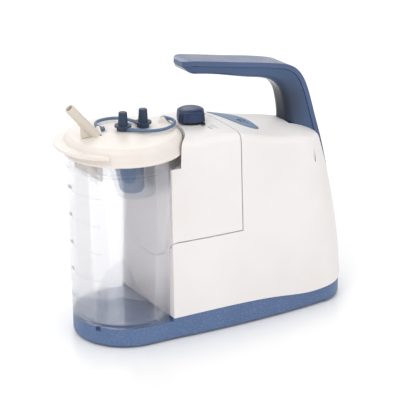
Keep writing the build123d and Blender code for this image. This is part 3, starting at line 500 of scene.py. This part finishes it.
def addArcBar(bm, z, start, sweep, height, proud):
    # Thin raised bar that follows the jar's round wall
    count = max(int(sweep / 2), 3)
    rows = []
    for i in range(count + 1):
        angle = radians(start + sweep * i / count)
        corner = []
        half, root = height / 2, scale["root"]
        for dz, out in ((-half, root), (-half, proud), (half, proud), (half, root)):
            r = jarRadiusAt(z) + out * mm
            corner.append(bm.verts.new((jarX + r * cos(angle), r * sin(angle), (z + dz) * mm)))
        rows.append(corner)
    for a, b in zip(rows, rows[1:]):
        for i in range(4):
            j = (i + 1) % 4
            bm.faces.new((a[i], a[j], b[j], b[i]))
    bm.faces.new(rows[0])
    bm.faces.new(list(reversed(rows[-1])))


bars = bmesh.new()
lines = bmesh.new()
for i in range(scale["majors"]):
    z = scale["bottom"] + i * scale["step"]
    addArcBar(bars, z, scale["start"], scale["majorArc"], scale["height"], scale["proud"])
    addArcBar(bars, z + scale["step"] / 2, scale["start"], scale["minorArc"], scale["height"], scale["proud"])
    lineStart = scale["start"] + scale["majorArc"] + scale["lineGap"]
    addArcBar(lines, z, lineStart, scale["lineArc"], scale["lineHeight"], scale["lineProud"])
addPiece("scale_marks", meshFrom("scale_marks", bars), inkGrey, "jar", smooth=False)
addPiece("scale_lines", meshFrom("scale_lines", lines), faintInk, "jar", smooth=False)

for i, figure in enumerate(scale["figures"]):
    z = scale["bottom"] + i * scale["step"] + scale["figureLift"]
    angle = radians(scale["start"] + scale["figureTurn"])
    text = bpy.data.curves.new("figure_" + figure, "FONT")
    text.body = figure
    text.size = scale["figureSize"] * mm
    text.extrude = 0.05 * mm
    text.align_x = "CENTER"
    text.materials.append(inkGrey)
    piece = bpy.data.objects.new("figure_" + figure, text)
    bpy.context.scene.collection.objects.link(piece)
    r = jarRadiusAt(z) + 0.25 * mm
    piece.location = (jarX + r * cos(angle), r * sin(angle), z * mm)
    piece.rotation_euler = (pi / 2, 0, angle + pi / 2)
    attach(piece, "jar")
print("stage: jar scale")

# ---- Ticks beside the knob ----
legend = {
    "rows": ((83.5, -21.0, -29.5, "block"), (87.0, -19.0, -28.5, "dash"), (90.0, -17.0, -31.0, "dash")),
    "width": 1.1,
    "blockWidth": 1.43,
    "dashes": 5,
    "dashShare": 0.7,
    "lift": 0.06,
}
inkBlue = printedInk("blue pad-printed ink", "7F8CB4", "97A2C4", 0.67, Roughness=0.5)


def roofHeight(x, y):
    # Height of the cover's outer surface under a point
    above = cadBounds[1][2] + 20 * mm
    hit, place, _, _ = nodes["front_cover"].ray_cast(Vector((x, y, above)), Vector((0, 0, -1)))
    return place.z if hit else knob["bottom"] * mm


def addDraped(bm, x, start, end, width):
    # Flat strip of ink laid on the roof, running across it
    count = 8
    rows = []
    for i in range(count + 1):
        y = (start + (end - start) * i / count) * mm
        row = []
        for side in (-0.5, 0.5):
            px = jarX + (x + side * width) * mm
            row.append(bm.verts.new((px, y, roofHeight(px, y) + legend["lift"] * mm)))
        rows.append(row)
    for a, b in zip(rows, rows[1:]):
        bm.faces.new((a[0], a[1], b[1], b[0]))


bpy.context.view_layer.update()
blocks, dashes = bmesh.new(), bmesh.new()
for x, start, end, kind in legend["rows"]:
    if kind == "block":
        addDraped(blocks, x, start, end, legend["blockWidth"])
    else:
        step = (end - start) / legend["dashes"]
        for k in range(legend["dashes"]):
            a = start + k * step
            addDraped(dashes, x, a, a + step * legend["dashShare"], legend["width"])
addPiece("legend_block", meshFrom("legend_block", blocks), inkBlue, "pump", smooth=False)
addPiece("legend_dashes", meshFrom("legend_dashes", dashes), inkGrey, "pump", smooth=False)
# Power symbol printed on the button: an open ring with a bar
symbol = {
    "centre": (129.4, -12.0),
    "radius": 2.5,
    "stroke": 0.75,
    "opening": 64.0,           # degrees left open for the bar
    "steps": 60,
    "bar": (-3.6, -1.0),       # its two ends, from the centre
    "barHalf": 0.38,
    "lift": 0.12,
}


def makeSymbol():
    bm = bmesh.new()
    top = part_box("power_button")[1].z + symbol["lift"] * mm
    rows = []
    for i in range(symbol["steps"] + 1):
        angle = radians(symbol["opening"] / 2 + (360 - symbol["opening"]) * i / symbol["steps"])
        row = []
        for r in (symbol["radius"] - symbol["stroke"] / 2, symbol["radius"] + symbol["stroke"] / 2):
            x, y = symbol["centre"][0] - r * cos(angle), symbol["centre"][1] - r * sin(angle)
            row.append(bm.verts.new((jarX + x * mm, y * mm, top)))
        rows.append(row)
    for a, b in zip(rows, rows[1:]):
        bm.faces.new((a[0], a[1], b[1], b[0]))
    bar = []
    (start, end), half = symbol["bar"], symbol["barHalf"]
    for dx, dy in ((start, -half), (end, -half), (end, half), (start, half)):
        x, y = symbol["centre"][0] + dx, symbol["centre"][1] + dy
        bar.append(bm.verts.new((jarX + x * mm, y * mm, top)))
    bm.faces.new(bar)
    return meshFrom("button_symbol", bm)


inkBrown = printedInk("dark brown pad-printed ink", "2A2226", "3A3034", 0.67, Roughness=0.5)
addPiece("button_symbol", makeSymbol(), inkBrown, "button", smooth=False)
print("stage: legend")

# ---- Studio ----
studio = {
    "world": 0.92,
    "reach": 8,                # half the floor's side, in metres
    "lamps": (                 # name, place, aim, size, power
        ("key", (-1.3, -0.9, 1.7), (0, 0, 0.1), 1.2, 12.0),
        ("fill", (0.9, -1.7, 1.0), (0, 0, 0.12), 1.4, 4.0),
        ("rim", (0.6, 1.4, 1.5), (0, 0, 0.15), 1.0, 6.0),
    ),
}
reach = studio["reach"]
corners = [(-reach, -reach, 0), (reach, -reach, 0), (reach, reach, 0), (-reach, reach, 0)]
floorMesh = bpy.data.meshes.new("floor")
floorMesh.from_pydata(corners, [], [(0, 1, 2, 3)])
floor = bpy.data.objects.new("floor", floorMesh)
bpy.context.scene.collection.objects.link(floor)
# Acrylic sheet, cast: white, with a soft gleam near the object
whiteSheet, _, sheetShader = newMaterial("cast white acrylic", Base_Color=hexColour("FBFBFB"), Roughness=0.22)
sheetShader.inputs["Specular IOR Level"].default_value = 0.35
floorMesh.materials.append(whiteSheet)

world = bpy.data.worlds.new("studio")
bpy.context.scene.world = world
world.use_nodes = True
world.node_tree.nodes["Background"].inputs["Color"].default_value = (1, 1, 1, 1)
world.node_tree.nodes["Background"].inputs["Strength"].default_value = studio["world"]


def addLamp(name, place, aim, size, power):
    lamp = bpy.data.lights.new(name, "AREA")
    lamp.shape = "DISK"
    lamp.size = size
    lamp.energy = power
    holder = bpy.data.objects.new(name, lamp)
    bpy.context.scene.collection.objects.link(holder)
    holder.location = place
    holder.rotation_euler = (Vector(aim) - Vector(place)).to_track_quat("-Z", "Y").to_euler()


for lampFacts in studio["lamps"]:
    addLamp(*lampFacts)
bpy.context.scene.view_settings.view_transform = "Standard"
print("stage: studio")
